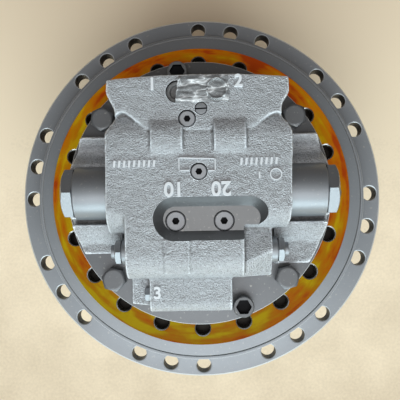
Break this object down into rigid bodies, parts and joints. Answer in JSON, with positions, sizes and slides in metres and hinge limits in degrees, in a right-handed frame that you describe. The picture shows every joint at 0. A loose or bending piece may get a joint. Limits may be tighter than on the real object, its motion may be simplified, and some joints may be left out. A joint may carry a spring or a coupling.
{
  "type": "excavator final drive",
  "caption": "Hydraulic travel motor on a two-stage planetary gearbox in a turning hub, with a sprocket flange and a frame flange.",
  "frame": {"origin": "on the hub's axis, at the gearbox cover's resting face", "axes": "+Z along the hub's axis from the gearbox cover to the motor, +Y towards the motor's main ports"},
  "size_m": [0.432, 0.432, 0.3956],
  "materials": {
    "grey_paint": "semi-gloss grey paint over a sand casting",
    "coated_casting": "grey paint, with a machined ring under amber rust-proofing wax",
    "machined_steel": "machined and oiled",
    "dark_steel": "blackened",
    "bearing_bronze": "machined bearing bronze",
    "friction_lining": "pressed friction lining",
    "port_plastic": "moulded shipping plug"
  },
  "bodies": {
    "root": {"spindle": "coated_casting", "rear_cover": "grey_paint", "cover_bolt_1": "grey_paint", "cover_bolt_2": "grey_paint", "cover_bolt_3": "grey_paint", "cover_bolt_4": "grey_paint", "cover_screw_1": "dark_steel", "cover_screw_2": "dark_steel", "gallery_plug": "machined_steel", "middle_plug": "machined_steel", "recess_plug_west": "machined_steel", "recess_plug_east": "machined_steel", "bleed_screw": "machined_steel", "port_plug_a": "port_plastic", "port_plug_b": "port_plastic", "relief_valve_west": "machined_steel", "relief_valve_east": "machined_steel", "spool_cap_west": "dark_steel", "spool_cap_east": "dark_steel", "speed_spool_cap": "dark_steel", "bearing_inner_race_lower": "machined_steel", "bearing_inner_race_upper": "machined_steel", "bearing_nut": "machined_steel", "planet_carrier_2": "machined_steel", "seal_ring_frame": "machined_steel", "shaft_bearing_lower": "machined_steel", "shaft_bearing_upper": "machined_steel", "valve_plate": "bearing_bronze", "brake_steel_plate_1": "machined_steel", "brake_steel_plate_2": "machined_steel", "brake_disc_spring": "dark_steel"},
    "hub": {"hub": "grey_paint", "ring_gear": "machined_steel", "gearbox_cover": "grey_paint", "drain_plug": "machined_steel", "level_plug": "machined_steel", "bearing_outer_race_lower": "machined_steel", "bearing_outer_race_upper": "machined_steel", "seal_ring_hub": "machined_steel"},
    "rotor": {"input_shaft": "machined_steel", "sun_gear_1": "machined_steel", "cylinder_block": "machined_steel", "brake_friction_plate_1": "friction_lining", "brake_friction_plate_2": "friction_lining"},
    "carrier_1": {"planet_carrier_1": "machined_steel", "sun_gear_2": "machined_steel"},
    "roller_set_lower": {"bearing_roller_set_lower": "bearing_bronze"},
    "roller_set_upper": {"bearing_roller_set_upper": "bearing_bronze"},
    "swash": {"swash_plate": "machined_steel"},
    "brake_piston": {"brake_piston": "machined_steel"},
    "counterbalance_spool": {"counterbalance_spool": "machined_steel"},
    "speed_spool": {"speed_spool": "machined_steel"},
    "planet_1a": {"planet_gear_1a": "machined_steel"},
    "planet_1b": {"planet_gear_1b": "machined_steel"},
    "planet_1c": {"planet_gear_1c": "machined_steel"},
    "planet_2a": {"planet_gear_2a": "machined_steel"},
    "planet_2b": {"planet_gear_2b": "machined_steel"},
    "planet_2c": {"planet_gear_2c": "machined_steel"}
  },
  "joints": [
    {"name": "hub_spin", "type": "hinge", "parent": "root", "child": "hub", "pos_m": [0, 0, 0.2], "axis": [0, 0, 1], "continuous": true},
    {"name": "rotor_spin", "type": "hinge", "parent": "root", "child": "rotor", "pos_m": [0, 0, 0.27], "axis": [0, 0, 1], "continuous": true},
    {"name": "carrier_1_spin", "type": "hinge", "parent": "root", "child": "carrier_1", "pos_m": [0, 0, 0.071], "axis": [0, 0, 1], "continuous": true},
    {"name": "roller_set_lower_spin", "type": "hinge", "parent": "root", "child": "roller_set_lower", "pos_m": [0, 0, 0.173], "axis": [0, 0, 1], "continuous": true},
    {"name": "roller_set_upper_spin", "type": "hinge", "parent": "root", "child": "roller_set_upper", "pos_m": [0, 0, 0.209], "axis": [0, 0, 1], "continuous": true},
    {"name": "planet_1a_spin", "type": "hinge", "parent": "carrier_1", "child": "planet_1a", "pos_m": [0.081, 0, 0.0483], "axis": [0, 0, 1], "continuous": true},
    {"name": "planet_1b_spin", "type": "hinge", "parent": "carrier_1", "child": "planet_1b", "pos_m": [-0.0405, 0.07015, 0.0483], "axis": [0, 0, 1], "continuous": true},
    {"name": "planet_1c_spin", "type": "hinge", "parent": "carrier_1", "child": "planet_1c", "pos_m": [-0.0405, -0.07015, 0.0483], "axis": [0, 0, 1], "continuous": true},
    {"name": "planet_2a_spin", "type": "hinge", "parent": "root", "child": "planet_2a", "pos_m": [0.08775, 0, 0.1056], "axis": [0, 0, 1], "continuous": true},
    {"name": "planet_2b_spin", "type": "hinge", "parent": "root", "child": "planet_2b", "pos_m": [-0.04387, 0.07599, 0.1056], "axis": [0, 0, 1], "continuous": true},
    {"name": "planet_2c_spin", "type": "hinge", "parent": "root", "child": "planet_2c", "pos_m": [-0.04387, -0.07599, 0.1056], "axis": [0, 0, 1], "continuous": true},
    {"name": "swash_tilt", "type": "hinge", "parent": "root", "child": "swash", "pos_m": [0, 0, 0.2052], "axis": [1, 0, 0], "range_deg": [-8, 0], "stiffness_Nm_per_rad": 20, "springref_deg": 17.19},
    {"name": "brake_release", "type": "slide", "parent": "root", "child": "brake_piston", "axis": [0, 0, 1], "range_m": [0, 0.0025], "stiffness_N_per_m": 20000, "springref_m": -0.01, "deforming": ["brake_disc_spring"]},
    {"name": "counterbalance_shift", "type": "slide", "parent": "root", "child": "counterbalance_spool", "axis": [1, 0, 0], "range_m": [-0.006, 0.006], "stiffness_N_per_m": 2000},
    {"name": "speed_shift", "type": "slide", "parent": "root", "child": "speed_spool", "axis": [1, 0, 0], "range_m": [0, 0.008], "stiffness_N_per_m": 500, "springref_m": -0.004}
  ],
  "couplings": [
    {"joint": "rotor_spin", "follows": "hub_spin", "ratio": -25},
    {"joint": "carrier_1_spin", "follows": "hub_spin", "ratio": -3.3333},
    {"joint": "roller_set_lower_spin", "follows": "hub_spin", "ratio": 0.53475},
    {"joint": "roller_set_upper_spin", "follows": "hub_spin", "ratio": 0.53475},
    {"joint": "planet_1a_spin", "follows": "hub_spin", "ratio": 10.833},
    {"joint": "planet_1b_spin", "follows": "hub_spin", "ratio": 10.833},
    {"joint": "planet_1c_spin", "follows": "hub_spin", "ratio": 10.833},
    {"joint": "planet_2a_spin", "follows": "hub_spin", "ratio": 2.8571},
    {"joint": "planet_2b_spin", "follows": "hub_spin", "ratio": 2.8571},
    {"joint": "planet_2c_spin", "follows": "hub_spin", "ratio": 2.8571}
  ]
}
